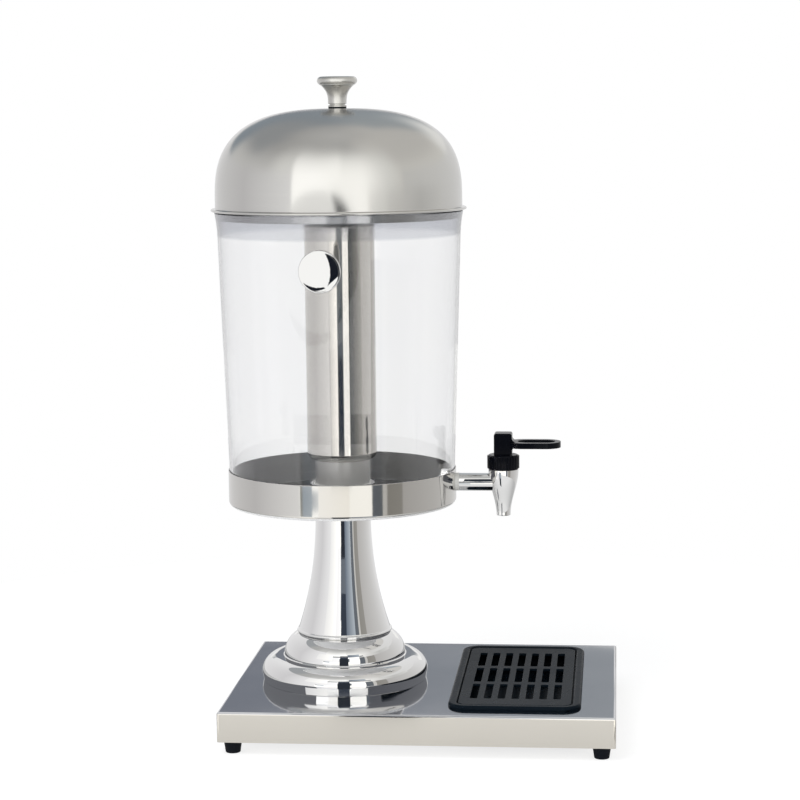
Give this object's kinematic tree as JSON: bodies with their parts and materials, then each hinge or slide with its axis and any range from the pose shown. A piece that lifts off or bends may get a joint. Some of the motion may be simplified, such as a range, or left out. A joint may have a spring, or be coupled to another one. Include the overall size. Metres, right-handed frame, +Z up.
{
  "type": "juice dispenser",
  "caption": "Drinks dispenser: a clear tapered tank with an ice tube and a domed steel lid on a flared pedestal, with a self-closing lever tap over a drip tray set in the base.",
  "frame": {"origin": "middle of the bounding box, on the plane that the feet stand on", "axes": "+X towards the tap and the drip tray, -Y the front as pictured, +Z up"},
  "size_m": [0.368, 0.27, 0.5927],
  "materials": {
    "satin_steel": "satin",
    "polished_steel": "polished",
    "plain_steel": "plain",
    "chrome": "mirror",
    "clear_plastic": "clear",
    "tray_plastic": "satin",
    "black_plastic": "gloss",
    "black_rubber": "matte",
    "grey_rubber": "matte",
    "white_silicone": "satin"
  },
  "bodies": {
    "stand": {"base_shell": "satin_steel", "rubber_feet": "black_rubber", "foot_screws": "plain_steel", "foot_nuts": "plain_steel", "pedestal_foot": "chrome", "pedestal_column": "chrome", "tie_rod": "plain_steel", "rod_washers": "plain_steel", "rod_nut": "plain_steel", "pan": "polished_steel", "tank_pad": "grey_rubber", "tank": "clear_plastic", "tank_bottom": "clear_plastic", "tube_socket": "clear_plastic", "tank_badge": "chrome", "badge_pad": "white_silicone", "tap_body": "chrome", "outer_gasket": "white_silicone", "inner_gasket": "white_silicone", "shank_nut": "chrome", "tap_bonnet": "black_plastic", "tap_spring": "plain_steel"},
    "lid": {"lid_dome": "satin_steel", "lid_skirt": "satin_steel", "lid_knob": "satin_steel", "knob_washer": "black_rubber", "knob_screw": "plain_steel"},
    "tube": {"ice_tube": "polished_steel", "tube_seal": "white_silicone"},
    "tray": {"drip_tray": "tray_plastic"},
    "grille": {"drip_grille": "tray_plastic"},
    "stem": {"tap_stem": "plain_steel", "seat_cup": "white_silicone"},
    "lever": {"tap_lever": "black_plastic", "lever_pin": "plain_steel"}
  },
  "joints": [
    {"name": "lid_lift", "type": "slide", "parent": "stand", "child": "lid", "axis": [0, 0, 1], "range_m": [0, 0.15]},
    {"name": "tube_lift", "type": "slide", "parent": "stand", "child": "tube", "axis": [0, 0, 1], "range_m": [0, 0.06]},
    {"name": "tray_lift", "type": "slide", "parent": "stand", "child": "tray", "axis": [0, 0, 1], "range_m": [0, 0.06]},
    {"name": "grille_lift", "type": "slide", "parent": "tray", "child": "grille", "axis": [0, 0, 1], "range_m": [0, 0.04]},
    {"name": "stem_lift", "type": "slide", "parent": "stand", "child": "stem", "axis": [0, 0, 1], "range_m": [0, 0.0021], "deforming": ["tap_spring"]},
    {"name": "lever_tilt", "type": "hinge", "parent": "stem", "child": "lever", "pos_m": [0.08075, 0, 0.25605], "axis": [0, 1, 0], "range_deg": [0, 30], "stiffness_Nm_per_rad": 0.048, "springref_deg": -71.62}
  ],
  "couplings": [
    {"joint": "stem_lift", "follows": "lever_tilt", "m_per_rad": 0.004}
  ]
}
